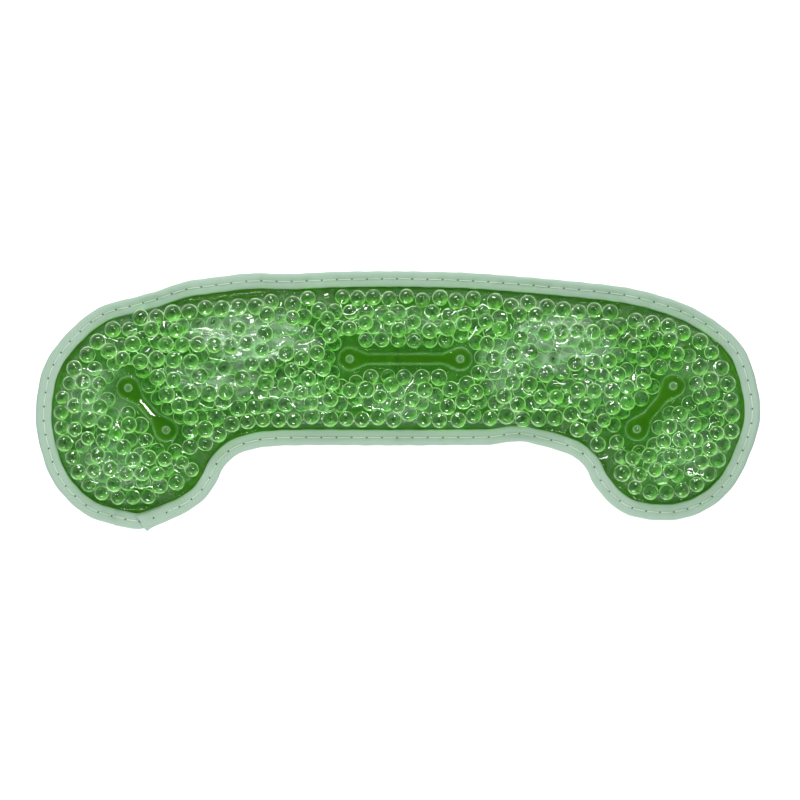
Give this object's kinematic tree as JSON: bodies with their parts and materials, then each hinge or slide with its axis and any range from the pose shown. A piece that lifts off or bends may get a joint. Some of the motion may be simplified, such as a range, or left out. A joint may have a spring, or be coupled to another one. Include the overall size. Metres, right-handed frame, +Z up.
{
  "type": "gel bead eye pillow",
  "caption": "Arched eye pillow with rounded end lobes: clear green film over gel beads, soft fabric back, sewn binding, three tack welds.",
  "frame": {"origin": "middle of the footprint, on the surface that the pillow lies on", "axes": "+X along the pillow to its right end as worn side down, +Y towards the crown of the arch, +Z up out of the clear front"},
  "size_m": [0.275, 0.097, 0.0126],
  "materials": {
    "clear_film": "smooth, glossy, green-tinted soft vinyl",
    "gel_beads": "clear swollen gel, wet and glossy",
    "loose_gel": "clear wet gel",
    "back_fabric": "soft brushed knit",
    "binding_tape": "fine woven tape, satin",
    "sewing_thread": "twisted polyester"
  },
  "bodies": {
    "centre_band": {"back_fabric_centre": "back_fabric", "back_film_centre": "clear_film", "gel_fluid_centre": "loose_gel", "gel_beads_centre": "gel_beads", "front_film_centre": "clear_film", "binding_tape_centre": "binding_tape", "needle_thread_centre": "sewing_thread", "bobbin_thread_centre": "sewing_thread"},
    "left_lobe": {"back_fabric_left": "back_fabric", "back_film_left": "clear_film", "gel_fluid_left": "loose_gel", "gel_beads_left": "gel_beads", "front_film_left": "clear_film", "binding_tape_left": "binding_tape", "needle_thread_left": "sewing_thread", "bobbin_thread_left": "sewing_thread"},
    "right_lobe": {"back_fabric_right": "back_fabric", "back_film_right": "clear_film", "gel_fluid_right": "loose_gel", "gel_beads_right": "gel_beads", "front_film_right": "clear_film", "binding_tape_right": "binding_tape", "needle_thread_right": "sewing_thread", "bobbin_thread_right": "sewing_thread"}
  },
  "joints": [
    {"name": "left_lobe_fold", "type": "hinge", "parent": "centre_band", "child": "left_lobe", "pos_m": [-0.095, -0.004, 0], "axis": [0.6691, -0.7431, 0], "range_deg": [-25, 60]},
    {"name": "right_lobe_fold", "type": "hinge", "parent": "centre_band", "child": "right_lobe", "pos_m": [0.098, -0.0035, 0], "axis": [0.6428, 0.766, 0], "range_deg": [-25, 60]}
  ]
}
